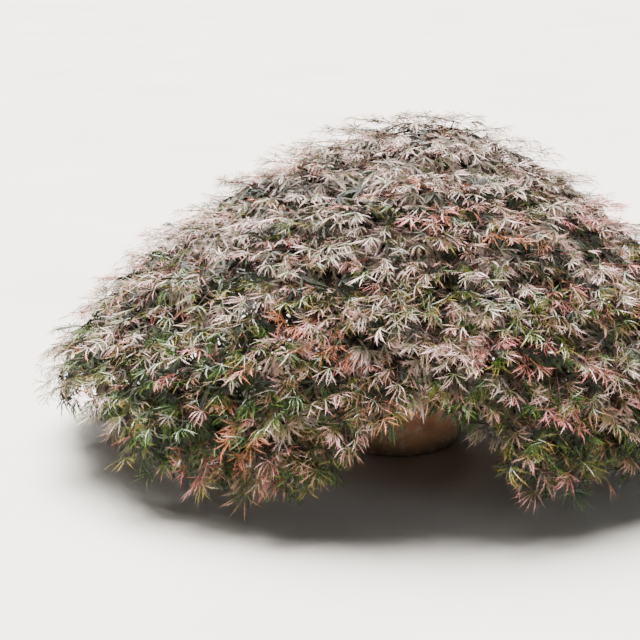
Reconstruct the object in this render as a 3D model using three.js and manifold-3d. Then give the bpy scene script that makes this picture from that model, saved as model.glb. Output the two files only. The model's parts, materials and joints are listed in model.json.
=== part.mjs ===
// A weeping cut-leaf maple in a plain clay pot: a short leaning trunk that forks low, boughs that arch
// out under the crown, and a broad dome of foliage that hangs like a skirt almost to the ground.
// Millimetres, +Z up, origin at the centre of the pot's flat underside. -Y is the front of the plant.
import * as THREE from "three";
import { mergeVertices } from "three/addons/utils/BufferGeometryUtils.js";
import Module from "manifold-3d";

const wasm = await Module();
wasm.setup();

const degrees = Math.PI / 180;
const up = new THREE.Vector3(0, 0, 1);

// Driving dimensions.
const clearance = 0.3; // left between two solids that meet
const slivers = [0.3, 0.45, 0.6, 0.2]; // faces finer than the first of these that works are merged away
const grid = 0.01; // corners of the fused foliage are rounded to this

const pot = {
  height: 300,
  baseRadius: 150,
  neckRadius: 188, // under the rim band
  rimRadius: 206,
  bandHeight: 52,
  wall: 14,
  floor: 16,
  edge: 4, // bevel of the rim and the foot
  sides: 28,
  drains: 4,
  drainRadius: 9,
  drainCircle: 75,
};

const soil = {
  level: 272, // flat round the trunk, where it is highest
  edgeDrop: 8,
  flatRadius: 95,
};

const trunk = {
  height: 150, // from the soil to the top of the fork
  radius: 35,
  flareRadius: 62,
  flareHeight: 34,
  buttresses: 5,
  buttressDepth: 0.5, // of the flare
  belly: 0.16, // swelling at mid height, as a share of the radius
  neck: 0.3, // how far the top edge draws in
  neckPower: 9,
  domeHeight: 10,
  lean: new THREE.Vector3(24, -10, 0), // how far the fork stands off the foot
  leanPower: 1.3,
  sway: 7,
  sides: 15,
  rings: 9,
};

// The leader rises straight up, the boughs arch out from the trunk's head, and branches spring from boughs.
// The root shares say where, on the trunk's height or the bough's length, and are taken in turn. A limb
// leaves its root outwards and upwards, and comes in to its tip from behind and above.
const limb = { sides: 5, steps: 7, crookedness: 9, knots: 5, samples: 30 };
const leader = {
  rootShares: [0.94], rootRadius: 16, tipRadius: 7.5,
  leaveOut: 0, leaveUp: 62, arriveBack: 60, arriveUp: 0,
};
const bough = {
  rootShares: [0.6, 0.86], rootRadius: 18, tipRadius: 7.5,
  leaveOut: 75, leaveUp: 62, arriveBack: 85, arriveUp: 12,
};
const branch = {
  rootShares: [0.42, 0.62], rootRadius: 12, tipRadius: 6,
  leaveShare: 0.42, leaveUp: 14, arriveBack: 110, arriveUp: 20,
};

// The crown is a blunt dome with a skirt under its rim, wider than deep, and its peak stands off the trunk.
const crown = {
  left: 840,
  right: 780,
  front: 600,
  back: 660,
  rim: 140, // where the dome turns down into the skirt
  top: 780,
  bluntness: 1.47, // 1 is a cone, 2 an ellipsoid
  peakShift: 50,
  tuck: 0.08, // how far the skirt draws in at the ground
  hem: 62,
  fallLine: 0.5, // how far the slope's down direction turns from the vertical towards the radial
  farthest: 1200,
  halvings: 26,
};
const heart = new THREE.Vector3(25, 0, 200); // a point that sees the whole inside of the crown
const floorGap = 25; // the lowest leaf tips hang this far over the ground

// Where the skirt is lifted like a curtain: widest over the pot's front, and along the left side.
const arches = [
  { azimuth: 273, halfWidth: 24, lift: 200 },
  { azimuth: 206, halfWidth: 13, lift: 112 },
  { azimuth: 189, halfWidth: 20, lift: 105 },
  { azimuth: 17, halfWidth: 13, lift: 110 },
  { azimuth: 125, halfWidth: 14, lift: 130 },
];

// Leaves are scattered over the crown and laid on it like shingles. Each stands for a tuft of cut leaves.
const scatter = {
  spacing: 94, // from one leaf's hub to the next
  borderGap: 14, // from a hub to the neighbouring mass
  overHem: 34,
  lowestSine: -0.22, // of the elevation of the lowest place, seen from the heart
  misses: 1500, // places tried in vain before the crown counts as full
};

const leaf = {
  size: 104,
  thickness: 5,
  proud: 24, // degrees by which its outer edge stands off the crown
  droop: 0.24,
  depths: [8, 27, 44], // of its hub under the crown's surface
  turn: 32, // degrees to either side of straight down the slope
  // [angle in degrees, length] of the tips of its five lobes, the notches between them and, last, its root.
  outline: [
    [-104, 0.66], [-80, 0.3], [-54, 0.86], [-27, 0.34], [0, 1],
    [27, 0.34], [54, 0.86], [80, 0.3], [104, 0.66], [180, 0.3],
  ],
  trims: [1, 0.84, 0.68, 0.52, 0.36, 0.2], // a lobe that would leave its mass's space is shortened
  leastSpan: 0.62, // of a leaf's full spread that it must keep
  midLobe: 0.6,
  apart: 13, // from another leaf's lobes
  overLimb: 4,
  border: 1,
};

const twig = { sides: 3, stemRadius: 5.4, stemOverlap: 4, rootRadius: 5, tipRadius: 3 };

// A mass's core is a cushion of dense inner twigs.
const core = {
  depth: 86, // of its middle plane under the crown's surface
  halfThickness: 20,
  spokes: 12,
  brow: 0.6, // where along a spoke the cushion reaches its full thickness
  least: 20,
  most: 300,
  step: 8,
  border: 10,
  overHem: 62,
  ragged: 0.18,
};

const colours = {
  clay: 0x8a5f4a,
  soil: 0x3b2b22,
  bark: 0x6d5a4c,
  mauve: 0x9c8481,
  silver: 0xaea39b,
  rose: 0xab7672,
  salmon: 0xb4704f,
  olive: 0x77743f,
  green: 0x56682f,
  bronze: 0x7b5a4b,
};

// Every mass of foliage: its limb, where its middle lies as seen from the heart, and its leaf colour.
const shoulders = [
  ["front", 270, "mauve"],
  ["front_right", 328, "silver"],
  ["back_right", 28, "rose"],
  ["back", 90, "mauve"],
  ["back_left", 150, "bronze"],
  ["front_left", 212, "silver"],
].map(([name, azimuth, colour]) => ({ name, azimuth, elevation: 46, colour, tier: "shoulder" }));

const skirts = [
  ["right", 0, 5, "rose"],
  ["right_back", 33, 5, "green"],
  ["back_right", 68, 5, "mauve"],
  ["back_left", 104, 5, "olive"],
  ["left_back", 142, 5, "bronze"],
  ["left", 175, 5, "rose"],
  ["left_front", 205, 5, "olive"],
  ["front_left", 236, 5, "salmon"],
  ["front", 271, 17, "mauve"],
  ["front_right", 298, 5, "green"],
  ["right_front", 331, 5, "mauve"],
].map(([name, azimuth, elevation, colour]) => ({ name, azimuth, elevation, colour, tier: "skirt" }));

const peak = { name: "peak", azimuth: 0, elevation: 89, colour: "rose", tier: "top" };
const masses = [peak, ...shoulders, ...skirts];

// Where a mass's stem begins: how much nearer the peak than its middle, and how deep under the surface.
const entries = {
  top: { lift: 0, depth: 175 },
  shoulder: { lift: 15, depth: 140 },
  skirt: { lift: 21, depth: 135 },
};

function seededRandom(seed) {
  let state = (seed * 2654435761) >>> 0;
  return () => {
    state = (Math.imul(state, 1664525) + 1013904223) >>> 0;
    return state / 4294967296;
  };
}

// Solids and geometries.

function solidOf(geometry) {
  const bare = new THREE.BufferGeometry().setAttribute("position", geometry.getAttribute("position"));
  bare.setIndex(geometry.index);
  const merged = mergeVertices(bare, 1e-3);
  return new wasm.Manifold(
    new wasm.Mesh({
      numProp: 3,
      vertProperties: new Float32Array(merged.attributes.position.array),
      triVerts: new Uint32Array(merged.index.array),
    }),
  );
}

// The same solid with no corner nearer than the grid to another.
function snapped(solid) {
  const geometry = geometryOf(solid);
  const positions = geometry.attributes.position;
  positions.array.forEach((value, index) => {
    positions.array[index] = Math.round(value / grid) * grid;
  });
  return solidOf(geometry);
}

function everyEdgeOnce(solid) {
  const corners = solid.getMesh().triVerts;
  const edges = new Set();
  for (let face = 0; face < corners.length; face += 3) {
    const [a, b, c] = corners.slice(face, face + 3);
    edges.add(a + "-" + b).add(b + "-" + c).add(c + "-" + a);
  }
  return edges.size === corners.length;
}

function geometryOf(solid) {
  const mesh = solid.getMesh();
  const geometry = new THREE.BufferGeometry();
  geometry.setAttribute("position", new THREE.BufferAttribute(mesh.vertProperties, mesh.numProp));
  geometry.setIndex(new THREE.BufferAttribute(mesh.triVerts, 1));
  const faceted = geometry.toNonIndexed();
  faceted.computeVertexNormals();
  return faceted;
}

function largestBody(solid) {
  const bodies = solid.decompose();
  return bodies.reduce((best, body) => (body.volume() > best.volume() ? body : best));
}

function closedGeometry(points, faces) {
  const geometry = new THREE.BufferGeometry().setFromPoints(points);
  geometry.setIndex(faces.flat());
  return geometry;
}

// A closed tube of rings: ringPoint(step, side) gives each point, and both ends are capped by a fan.
function ringedGeometry(steps, sides, ringPoint, firstMiddle, lastMiddle) {
  const points = [];
  const faces = [];
  for (let step = 0; step <= steps; step++) {
    for (let side = 0; side < sides; side++) points.push(ringPoint(step, side));
  }
  const first = points.push(firstMiddle) - 1;
  const last = points.push(lastMiddle) - 1;
  for (let side = 0; side < sides; side++) {
    const next = (side + 1) % sides;
    for (let step = 0; step < steps; step++) {
      const low = step * sides;
      const high = low + sides;
      faces.push([low + side, low + next, high + side], [low + next, high + next, high + side]);
    }
    faces.push([first, next, side], [last, steps * sides + side, steps * sides + next]);
  }
  return closedGeometry(points, faces);
}

// A tapering tube along a curve, run on past its end by the overshoot.
function taperedTube(curve, radiusAt, sides, steps, overshoot) {
  const frames = curve.computeFrenetFrames(steps, false);
  const middle = (step) =>
    curve.getPointAt(step / steps).addScaledVector(frames.tangents[step], step === steps ? overshoot : 0);
  const ringPoint = (step, side) => {
    const turn = (2 * Math.PI * side) / sides;
    const radius = radiusAt(step / steps);
    return middle(step)
      .addScaledVector(frames.normals[step], radius * Math.cos(turn))
      .addScaledVector(frames.binormals[step], radius * Math.sin(turn));
  };
  return ringedGeometry(steps, sides, ringPoint, middle(0), middle(steps));
}

const taper = (from, to) => (share) => from + (to - from) * share;

// Pot and soil.

function innerRadius(z) {
  const share = (z - pot.floor) / (pot.height - pot.floor);
  return pot.baseRadius - pot.wall + (pot.rimRadius - pot.baseRadius - pot.edge) * share;
}

function potSolid() {
  const bandFoot = pot.height - pot.bandHeight;
  const profile = [
    [0, 0],
    [pot.baseRadius - pot.edge, 0],
    [pot.baseRadius, pot.edge],
    [pot.neckRadius, bandFoot],
    [pot.rimRadius - pot.edge, bandFoot + pot.edge],
    [pot.rimRadius, bandFoot + 3 * pot.edge],
    [pot.rimRadius, pot.height - pot.edge],
    [pot.rimRadius - pot.edge, pot.height],
    [innerRadius(pot.height) + pot.edge, pot.height],
    [innerRadius(pot.height), pot.height - pot.edge],
    [innerRadius(pot.floor), pot.floor],
    [0, pot.floor],
  ];
  let solid = lathe(profile);
  for (let drain = 0; drain < pot.drains; drain++) {
    const turn = (2 * Math.PI * (drain + 0.5)) / pot.drains;
    const hole = new THREE.CylinderGeometry(pot.drainRadius, pot.drainRadius, 3 * pot.floor, 8);
    hole.rotateX(Math.PI / 2);
    hole.translate(pot.drainCircle * Math.cos(turn), pot.drainCircle * Math.sin(turn), 0);
    solid = solid.subtract(solidOf(hole));
  }
  return solid;
}

function soilSolid() {
  const edgeLevel = soil.level - soil.edgeDrop;
  const bottom = pot.floor + clearance;
  return lathe([
    [0, bottom],
    [innerRadius(bottom) - 2 * clearance, bottom],
    [innerRadius(edgeLevel) - 2 * clearance, edgeLevel],
    [soil.flatRadius, soil.level],
    [0, soil.level],
  ]);
}

function lathe(profile) {
  const points = profile.map(([radius, z]) => new THREE.Vector2(radius, z));
  const geometry = new THREE.LatheGeometry(points, pot.sides);
  geometry.rotateX(Math.PI / 2);
  return solidOf(geometry);
}

// Trunk.

function trunkMiddle(share) {
  const sway = trunk.sway * Math.sin(2 * Math.PI * share);
  const height = soil.level + clearance + trunk.height * share;
  return new THREE.Vector3(0, sway, height).addScaledVector(trunk.lean, share ** trunk.leanPower);
}

function trunkSolid(extra) {
  const ringPoint = (step, side) => {
    const share = step / trunk.rings;
    const turn = (2 * Math.PI * side) / trunk.sides;
    const height = share * trunk.height;
    const flare = (trunk.flareRadius - trunk.radius) * Math.exp(-height / trunk.flareHeight);
    const ridge = trunk.buttressDepth * flare * Math.cos(trunk.buttresses * turn);
    const girth = 1 + trunk.belly * Math.sin(Math.PI * share) - trunk.neck * share ** trunk.neckPower;
    const radius = trunk.radius * girth + flare + ridge + extra;
    return trunkMiddle(share).add(new THREE.Vector3(radius * Math.cos(turn), radius * Math.sin(turn), 0));
  };
  const topMiddle = trunkMiddle(1).addScaledVector(up, trunk.domeHeight + extra);
  return solidOf(ringedGeometry(trunk.rings, trunk.sides, ringPoint, trunkMiddle(0), topMiddle));
}

// The crown's surface.

function planReach(azimuth) {
  const along = Math.cos(azimuth) / (Math.cos(azimuth) < 0 ? crown.left : crown.right);
  const across = Math.sin(azimuth) / (Math.sin(azimuth) < 0 ? crown.front : crown.back);
  return 1 / Math.hypot(along, across);
}

// Under 1 inside the crown's envelope, 1 on it.
function fullness(point) {
  const height = (point.z - crown.rim) / (crown.top - crown.rim);
  const x = point.x - crown.peakShift * Math.max(height, 0);
  const below = Math.max(0, 1 - point.z / crown.rim);
  const reach = planReach(Math.atan2(point.y, x)) * (1 - crown.tuck * below * below);
  return (Math.hypot(x, point.y) / reach) ** crown.bluntness + Math.max(height, 0) ** crown.bluntness;
}

function directionTo(azimuth, elevation) {
  const level = Math.cos(elevation * degrees);
  return new THREE.Vector3(
    level * Math.cos(azimuth * degrees),
    level * Math.sin(azimuth * degrees),
    Math.sin(elevation * degrees),
  );
}

function surfacePoint(direction) {
  let near = 0;
  let far = crown.farthest;
  for (let halving = 0; halving < crown.halvings; halving++) {
    const middle = (near + far) / 2;
    if (fullness(heart.clone().addScaledVector(direction, middle)) < 1) near = middle;
    else far = middle;
  }
  return heart.clone().addScaledVector(direction, near);
}

// The surface's own axes at a point: out of the crown, down its slope, and sideways.
function surfaceFrame(point) {
  const step = 2;
  const slope = (axis) => {
    const offset = new THREE.Vector3().setComponent(axis, step);
    return fullness(point.clone().add(offset)) - fullness(point.clone().sub(offset));
  };
  const out = new THREE.Vector3(slope(0), slope(1), slope(2)).normalize();
  const radial = new THREE.Vector3(point.x - crown.peakShift, point.y, 0).normalize();
  const down = radial.multiplyScalar(crown.fallLine).sub(up).projectOnPlane(out).normalize();
  return { out, down, side: out.clone().cross(down) };
}

function hemHeight(point) {
  const azimuth = Math.atan2(point.y, point.x) / degrees;
  return arches.reduce((height, arch) => {
    const away = ((((azimuth - arch.azimuth) % 360) + 540) % 360) - 180;
    const rise = 1 - (away / arch.halfWidth) ** 2;
    return Math.max(height, crown.hem + arch.lift * Math.max(0, rise));
  }, crown.hem);
}

function inCrown(azimuth, elevation, depth) {
  const point = surfacePoint(directionTo(azimuth, elevation));
  return point.addScaledVector(surfaceFrame(point).out, -depth);
}

// Each mass keeps to the space that is nearer to its own middle than to any other's.
for (const mass of masses) {
  mass.middle = inCrown(mass.azimuth, mass.elevation, 0);
  mass.hub = inCrown(mass.azimuth, mass.elevation, core.depth);
}

function borderDistance(point, mass) {
  let nearest = Infinity;
  for (const other of masses) {
    if (other === mass) continue;
    const apart = other.middle.distanceTo(mass.middle);
    const beyond = point.distanceToSquared(other.middle) - point.distanceToSquared(mass.middle);
    nearest = Math.min(nearest, beyond / (2 * apart));
  }
  return nearest;
}

const ownerOf = (point) => masses.find((mass) => borderDistance(point, mass) >= 0);

// Limbs. Each is one tapering curve with a crook or two, from its parent to the foot of its mass's stem.

function limbCurve(start, leave, arrive, end, seed) {
  const random = seededRandom(seed);
  const crook = () => (2 * random() - 1) * limb.crookedness;
  const knots = new THREE.CubicBezierCurve3(start, leave, arrive, end).getPoints(limb.knots);
  for (const knot of knots.slice(1, -2)) knot.add(new THREE.Vector3(crook(), crook(), crook()));
  return new THREE.CatmullRomCurve3(knots);
}

function entryOf(mass) {
  const entry = entries[mass.tier];
  const foot = inCrown(mass.azimuth, mass.elevation + entry.lift, entry.depth);
  return { foot, heading: mass.hub.clone().sub(foot).normalize() };
}

function limbTo(mass, name, style, start, leave, seed) {
  const { foot, heading } = entryOf(mass);
  const arrive = foot.clone().addScaledVector(heading, -style.arriveBack).addScaledVector(up, style.arriveUp);
  const curve = limbCurve(start, leave, arrive, foot, seed);
  return { name, mass, curve, radiusAt: taper(style.rootRadius, style.tipRadius) };
}

const inTurn = (list, index) => list[index % list.length];

function boughTo(mass, index) {
  const style = mass === peak ? leader : bough;
  const { foot } = entryOf(mass);
  const outward = new THREE.Vector3(foot.x, foot.y, 0).sub(trunk.lean).normalize();
  const start = trunkMiddle(inTurn(style.rootShares, index));
  const leave = start.clone().addScaledVector(outward, style.leaveOut).addScaledVector(up, style.leaveUp);
  return limbTo(mass, mass === peak ? "leader" : "bough_" + mass.name, style, start, leave, 11 + index);
}

// A branch springs from the bough whose mass lies nearest to its own round the trunk.
function branchTo(mass, index, boughs) {
  const { foot } = entryOf(mass);
  const turnTo = (parent) => {
    const away = Math.abs(parent.mass.azimuth - mass.azimuth) % 360;
    return parent.mass === peak ? 360 : Math.min(away, 360 - away);
  };
  const parent = boughs.reduce((best, each) => (turnTo(each) < turnTo(best) ? each : best));
  const start = parent.curve.getPointAt(inTurn(branch.rootShares, index));
  const outward = new THREE.Vector3(foot.x - start.x, foot.y - start.y, 0);
  const leave = start.clone().addScaledVector(outward, branch.leaveShare).addScaledVector(up, branch.leaveUp);
  return limbTo(mass, "branch_" + mass.name, branch, start, leave, 31 + index);
}

function limbSolid(each, extra) {
  const radiusAt = (share) => each.radiusAt(share) + extra;
  return solidOf(taperedTube(each.curve, radiusAt, limb.sides, limb.steps, extra));
}

function touchesLimb(point) {
  return limbs.some((each) =>
    each.samples.some(({ at, radius }) => at.distanceToSquared(point) < (radius + leaf.overLimb) ** 2),
  );
}

// Foliage.

// The leaves are spread evenly over the crown, clear of the hem. Each goes to the mass that owns its place.
function scatterLeaves() {
  const random = seededRandom(5);
  const places = [];
  const taken = [];
  for (let missed = 0; missed < scatter.misses; missed++) {
    const azimuth = 360 * random();
    const sine = scatter.lowestSine + (1 - scatter.lowestSine) * random();
    const elevation = Math.asin(sine) / degrees;
    const turn = (2 * random() - 1) * leaf.turn * degrees;
    const middle = surfacePoint(directionTo(azimuth, elevation));
    if (middle.z < hemHeight(middle) + scatter.overHem) continue;
    if (places.some((other) => other.distanceTo(middle) < scatter.spacing)) continue;
    const mass = ownerOf(middle);
    if (borderDistance(middle, mass) < scatter.borderGap) continue;
    const fitted = fittedLeaf({ middle, mass, turn, ...surfaceFrame(middle) }, taken);
    if (!fitted) continue;
    mass.leaves.push(fitted);
    places.push(middle);
    taken.push(...fitted.samples);
    missed = 0;
  }
}

// A leaf's hub, heading and face on the slope.
function leafStance({ middle, out, down, turn }, depth) {
  const ahead = down.clone().applyAxisAngle(out, turn);
  const proud = leaf.proud * degrees;
  return {
    hub: middle.clone().addScaledVector(out, -depth),
    heading: ahead.clone().multiplyScalar(Math.cos(proud)).addScaledVector(out, Math.sin(proud)),
    face: out.clone().multiplyScalar(Math.cos(proud)).addScaledVector(ahead, -Math.sin(proud)),
  };
}

function leafPoint({ hub, heading, face }, angle, length) {
  return heading
    .clone()
    .applyAxisAngle(face, angle * degrees)
    .multiplyScalar(leaf.size * length)
    .addScaledVector(face, -leaf.size * leaf.droop * length * length)
    .add(hub);
}

// The leaf's rim, with each point drawn in until it is free, or null where one never is.
function fittedRim(stance, mass, taken) {
  const isFree = (point) =>
    point.z > floorGap &&
    borderDistance(point, mass) > leaf.border &&
    !touchesLimb(point) &&
    !taken.some((other) => other.distanceToSquared(point) < leaf.apart ** 2);
  if (!isFree(stance.hub)) return null;
  const rim = leaf.outline.map(([angle, length]) =>
    leaf.trims.map((trim) => leafPoint(stance, angle, length * trim)).find(isFree),
  );
  return rim.every(Boolean) && spanOf(rim, stance.hub) > leaf.leastSpan ? rim : null;
}

// How much of a whole leaf's spread the rim keeps.
function spanOf(rim, hub) {
  const kept = rim.reduce((sum, point) => sum + point.distanceTo(hub), 0);
  return kept / leaf.outline.reduce((sum, [, length]) => sum + leaf.size * length, 0);
}

function fittedLeaf(place, taken) {
  for (const depth of leaf.depths) {
    const stance = leafStance(place, depth);
    const rim = fittedRim(stance, place.mass, taken);
    if (!rim) continue;
    const middles = rim.map((point) => stance.hub.clone().lerp(point, leaf.midLobe));
    return { ...stance, rim, root: rim.at(-1), samples: [stance.hub, ...rim, ...middles] };
  }
  return null;
}

function leafSolid({ rim, hub, face }) {
  const points = [
    ...rim,
    hub.clone().addScaledVector(face, leaf.thickness / 2),
    hub.clone().addScaledVector(face, -leaf.thickness / 2),
  ];
  const faces = rim.flatMap((_, side) => {
    const next = (side + 1) % rim.length;
    return [[rim.length, side, next], [rim.length + 1, next, side]];
  });
  return solidOf(closedGeometry(points, faces));
}

// A three-sided shoot through the given points, tapering from first to last. Its section isn't turned.
function shootSolid(points, fromRadius, toRadius) {
  const last = points.length - 1;
  const carried = new THREE.Vector3(0.6, -0.35, 0.7);
  const rings = points.map((point, step) => {
    const along = points[Math.min(step + 1, last)].clone().sub(points[Math.max(step - 1, 0)]).normalize();
    carried.projectOnPlane(along).normalize();
    const radius = taper(fromRadius, toRadius)(step / last);
    return { point, along, across: carried.clone().multiplyScalar(radius) };
  });
  const ringPoint = (step, side) => {
    const { point, along, across } = rings[step];
    return across.clone().applyAxisAngle(along, (2 * Math.PI * side) / twig.sides).add(point);
  };
  return solidOf(ringedGeometry(last, twig.sides, ringPoint, points[0], points[last]));
}

// The core follows the crown's curve and stops short of the borders and the hem.
function coreSolid(mass) {
  const { down, side } = surfaceFrame(mass.middle);
  const surfaceAt = (turn, far) => {
    const flat = mass.middle
      .clone()
      .addScaledVector(side, far * Math.cos(turn))
      .addScaledVector(down, far * Math.sin(turn));
    return surfacePoint(flat.sub(heart).normalize());
  };
  const sunk = (point, depth) => point.clone().addScaledVector(surfaceFrame(point).out, -depth);
  const reachAt = (turn) => {
    let reach = core.least;
    for (; reach < core.most; reach += core.step) {
      const next = sunk(surfaceAt(turn, reach + core.step), core.depth);
      if (borderDistance(next, mass) < core.border || next.z < hemHeight(next) + core.overHem) break;
    }
    return reach;
  };
  const turns = Array.from({ length: core.spokes }, (_, spoke) => (2 * Math.PI * spoke) / core.spokes);
  const random = seededRandom(masses.indexOf(mass) + 70);
  const reaches = turns.map((turn) => reachAt(turn) * (1 - core.ragged * random()));
  const ring = (share, depth) =>
    turns.map((turn, spoke) => sunk(surfaceAt(turn, reaches[spoke] * share), depth));
  const highDepth = core.depth - core.halfThickness;
  const lowDepth = core.depth + core.halfThickness;
  const points = [
    ...ring(1, core.depth),
    ...ring(core.brow, highDepth),
    ...ring(core.brow, lowDepth),
    sunk(mass.middle, highDepth),
    sunk(mass.middle, lowDepth),
  ];
  const count = core.spokes;
  const faces = turns.flatMap((_, spoke) => {
    const next = (spoke + 1) % count;
    const [rimA, rimB, highA, highB] = [spoke, next, count + spoke, count + next];
    const [lowA, lowB, high, low] = [2 * count + spoke, 2 * count + next, 3 * count, 3 * count + 1];
    return [
      [high, highB, highA], [highA, highB, rimB], [highA, rimB, rimA],
      [low, lowA, lowB], [lowA, rimB, lowB], [lowA, rimA, rimB],
    ];
  });
  return solidOf(closedGeometry(points, faces));
}

// Shoots grow outwards from the mass's hub. Each leaf in turn lengthens the shoot whose end is the nearest
// fork to it, or starts a new shoot from that fork.
function growShoots(mass) {
  const shoots = [];
  const forks = [{ point: mass.hub }];
  const reach = (each) => each.root.distanceTo(mass.hub);
  for (const { root } of mass.leaves.toSorted((a, b) => reach(a) - reach(b))) {
    const apart = (fork) => fork.point.distanceTo(root);
    const fork = forks.reduce((best, other) => (apart(other) < apart(best) ? other : best));
    let shoot = fork.shoot;
    if (shoot?.at(-1) === fork.point) shoot.push(root);
    else shoots.push((shoot = [fork.point, root]));
    forks.push({ point: root, shoot });
  }
  return shoots;
}

// The stem starts inside its limb's tip, and is then cut back from it, as all the foliage is from the limbs.
function massSolid(mass) {
  const { foot, heading } = entryOf(mass);
  const stemFoot = foot.clone().addScaledVector(heading, -twig.stemOverlap);
  const fused = wasm.Manifold.union([
    shootSolid([stemFoot, mass.hub], twig.stemRadius, twig.rootRadius),
    coreSolid(mass),
    ...growShoots(mass).map((points) => shootSolid(points, twig.rootRadius, twig.tipRadius)),
    ...mass.leaves.map(leafSolid),
  ]);
  for (const sliver of slivers) {
    let trimmed = fused.simplify(sliver);
    for (const each of limbs) trimmed = trimmed.subtract(limbSolid(each, clearance));
    const result = snapped(largestBody(trimmed));
    if (everyEdgeOnce(result)) return result;
  }
  throw new Error("no sliver size gives a sound solid for " + mass.name);
}

// Assembly.

function nodeMesh(name, solid, color, roughness) {
  const material = new THREE.MeshStandardMaterial({ color, roughness, metalness: 0, flatShading: true });
  const mesh = new THREE.Mesh(geometryOf(solid), material);
  mesh.name = name;
  return mesh;
}

// Each limb is cut back from the trunk and from the limbs made before it.
function limbMeshes(limbs) {
  const earlier = [trunkSolid(clearance)];
  return limbs.map((each) => {
    const trimmed = earlier.reduce((solid, other) => solid.subtract(other), limbSolid(each, 0));
    earlier.push(limbSolid(each, clearance));
    return nodeMesh(each.name, largestBody(trimmed), colours.bark, 0.85);
  });
}

const boughs = masses.filter((mass) => mass.tier !== "skirt").map(boughTo);
const branches = skirts.map((mass, index) => branchTo(mass, index, boughs));
const limbs = [...boughs, ...branches];
for (const each of limbs) {
  each.samples = Array.from({ length: limb.samples }, (_, step) => {
    const share = step / (limb.samples - 1);
    return { at: each.curve.getPointAt(share), radius: each.radiusAt(share) };
  });
}

const potGroup = new THREE.Group();
potGroup.add(nodeMesh("pot", potSolid(), colours.clay, 0.8));
potGroup.add(nodeMesh("soil", soilSolid(), colours.soil, 1));

const woodGroup = new THREE.Group();
woodGroup.add(nodeMesh("trunk", trunkSolid(0), colours.bark, 0.85), ...limbMeshes(limbs));

for (const mass of masses) mass.leaves = [];
scatterLeaves();

const leafGroup = new THREE.Group();
for (const mass of masses) {
  const name = "foliage_" + mass.tier + "_" + mass.name;
  leafGroup.add(nodeMesh(name, massSolid(mass), colours[mass.colour], 0.7));
}

const plant = new THREE.Group();
plant.add(potGroup, woodGroup, leafGroup);

export default plant;
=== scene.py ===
import json
import math

import bmesh
import bpy
import numpy as np
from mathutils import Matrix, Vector, noise

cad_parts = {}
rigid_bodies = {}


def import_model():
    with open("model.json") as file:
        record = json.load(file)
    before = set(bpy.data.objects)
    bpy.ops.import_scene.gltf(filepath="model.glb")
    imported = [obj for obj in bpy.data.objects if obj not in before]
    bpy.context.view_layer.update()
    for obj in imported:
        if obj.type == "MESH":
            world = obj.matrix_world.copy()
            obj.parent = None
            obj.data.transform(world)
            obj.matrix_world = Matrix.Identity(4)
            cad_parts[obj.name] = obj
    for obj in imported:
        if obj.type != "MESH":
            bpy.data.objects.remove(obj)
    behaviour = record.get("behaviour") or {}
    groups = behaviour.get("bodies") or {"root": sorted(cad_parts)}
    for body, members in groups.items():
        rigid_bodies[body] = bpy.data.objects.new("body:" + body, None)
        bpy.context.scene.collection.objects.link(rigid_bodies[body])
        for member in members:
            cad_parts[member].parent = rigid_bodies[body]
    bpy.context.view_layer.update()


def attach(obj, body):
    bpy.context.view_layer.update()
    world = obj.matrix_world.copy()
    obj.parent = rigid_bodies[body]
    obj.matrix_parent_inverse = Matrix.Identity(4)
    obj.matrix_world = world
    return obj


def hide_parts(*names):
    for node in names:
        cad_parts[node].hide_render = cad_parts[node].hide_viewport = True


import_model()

mm = 0.001
up = np.array([0.0, 0.0, 1.0])


# Small tools.

def linearColour(code):
    channels = [int(code[place:place + 2], 16) / 255 for place in (1, 3, 5)]
    return [c / 12.92 if c <= 0.04045 else ((c + 0.055) / 1.055) ** 2.4 for c in channels] + [1]


def seededRandom(seed):
    state = seed * 2654435761 % 2 ** 32

    def draw():
        nonlocal state
        state = (state * 1664525 + 1013904223) % 2 ** 32
        return state / 2 ** 32

    return draw


def drawn(random, least, span):  # evenly, from the least to the span above it
    return least + span * random()


def unit(vectors):
    vectors = np.asarray(vectors, float)
    return vectors / np.maximum(np.linalg.norm(vectors, axis=-1, keepdims=True), 1e-9)


def turned(vector, axis, angle):  # angle in radians
    return (vector * math.cos(angle) + np.cross(axis, vector) * math.sin(angle)
            + axis * np.dot(axis, vector) * (1 - math.cos(angle)))


def addNode(tree, kind, inputs=None, **settings):
    node = tree.nodes.new(kind)
    for name, value in settings.items():
        setattr(node, name, value)
    for name, value in (inputs or {}).items():
        if isinstance(value, bpy.types.NodeSocket):
            tree.links.new(value, node.inputs[name])
        else:
            node.inputs[name].default_value = value
    return node


def firstOf(tree, kind, inputs=None, **settings):  # the first output of a new node
    return addNode(tree, kind, inputs, **settings).outputs[0]


def mathNode(tree, operation, *values):
    return firstOf(tree, "ShaderNodeMath", dict(enumerate(values)), operation=operation)


def scaled(tree, vector, scale):
    return firstOf(tree, "ShaderNodeVectorMath", {0: vector, "Scale": scale}, operation="SCALE")


def field(tree, name, kind="FLOAT"):
    return firstOf(tree, "GeometryNodeInputNamedAttribute", {"Name": name}, data_type=kind)


def withField(tree, geometry, name, value, kind="FLOAT"):
    return firstOf(tree, "GeometryNodeStoreNamedAttribute", {
        "Geometry": geometry, "Name": name, "Value": value}, data_type=kind)


def newTree(name, inputs):
    tree = bpy.data.node_groups.new(name, "GeometryNodeTree")
    tree.interface.new_socket("Geometry", in_out="OUTPUT", socket_type="NodeSocketGeometry")
    tree.interface.new_socket("Geometry", in_out="INPUT", socket_type="NodeSocketGeometry")
    for title, kind in inputs.items():
        tree.interface.new_socket(title, in_out="INPUT", socket_type="NodeSocket" + kind)
    return tree, tree.nodes.new("NodeGroupInput").outputs


def endTree(tree, geometry, material):
    painted = firstOf(tree, "GeometryNodeSetMaterial", {"Geometry": geometry, "Material": material})
    addNode(tree, "NodeGroupOutput", {"Geometry": painted})


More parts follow.
